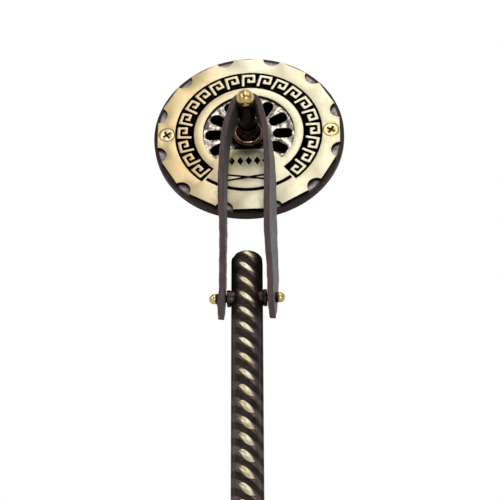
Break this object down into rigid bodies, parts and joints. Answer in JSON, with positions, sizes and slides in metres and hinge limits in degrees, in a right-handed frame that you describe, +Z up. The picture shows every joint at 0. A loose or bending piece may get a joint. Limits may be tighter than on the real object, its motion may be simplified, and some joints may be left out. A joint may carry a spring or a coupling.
{
  "type": "long shoehorn with wall hanger",
  "caption": "Long-handled metal shoehorn with a ribbed steel rod handle, hanging by a leather loop from a ball-ended peg on a round cast wall plate.",
  "frame": {"origin": "centre of the wall plate's back face, on the wall, which is also on the peg's axis", "axes": "+Z up, +X to the right as seen from the front, +Y into the wall; the plate's face looks along -Y"},
  "size_m": [0.08, 0.0691, 0.707],
  "materials": {
    "cast_brass": "cast, high parts polished, sunk parts dark",
    "screw_brass": "satin",
    "polished_brass": "polished",
    "plain_steel": "satin",
    "copper_washer": "satin",
    "dark_copper": "dark patina, glossy",
    "black_steel": "blackened",
    "ribbed_steel": "dark brown patina, crests worn bright",
    "blade_steel": "brown patina, rubbed bright in the hollow and at the edge",
    "brown_leather": "matt, raw edges"
  },
  "bodies": {
    "hanger": {"wall_plate": "cast_brass", "wall_screws": "screw_brass", "peg_screw": "plain_steel", "hub_washer": "copper_washer", "hub_collar": "dark_copper", "peg_ball": "polished_brass"},
    "sleeve": {"peg_sleeve": "black_steel"},
    "loop": {"leather_strap": "brown_leather", "cross_pin": "black_steel", "pin_ball_left": "polished_brass", "pin_ball_right": "polished_brass", "pin_washer_left": "black_steel", "pin_washer_right": "black_steel"},
    "shoehorn": {"handle_rod": "ribbed_steel", "cross_bush": "black_steel", "ferrule": "cast_brass", "shoe_blade": "blade_steel", "blade_rivets": "polished_brass", "rivet_washers": "screw_brass"}
  },
  "joints": [
    {"name": "strap_swing", "type": "hinge", "parent": "hanger", "child": "sleeve", "pos_m": [0, 0, 0], "axis": [0, 1, 0], "range_deg": [-60, 60]},
    {"name": "lift_off", "type": "slide", "parent": "sleeve", "child": "loop", "axis": [0, -0.866, 0.5], "range_m": [0, 0.04]},
    {"name": "rod_pivot", "type": "hinge", "parent": "loop", "child": "shoehorn", "pos_m": [0, -0.0193, -0.089], "axis": [-1, 0, 0], "range_deg": [-1, 30]}
  ]
}
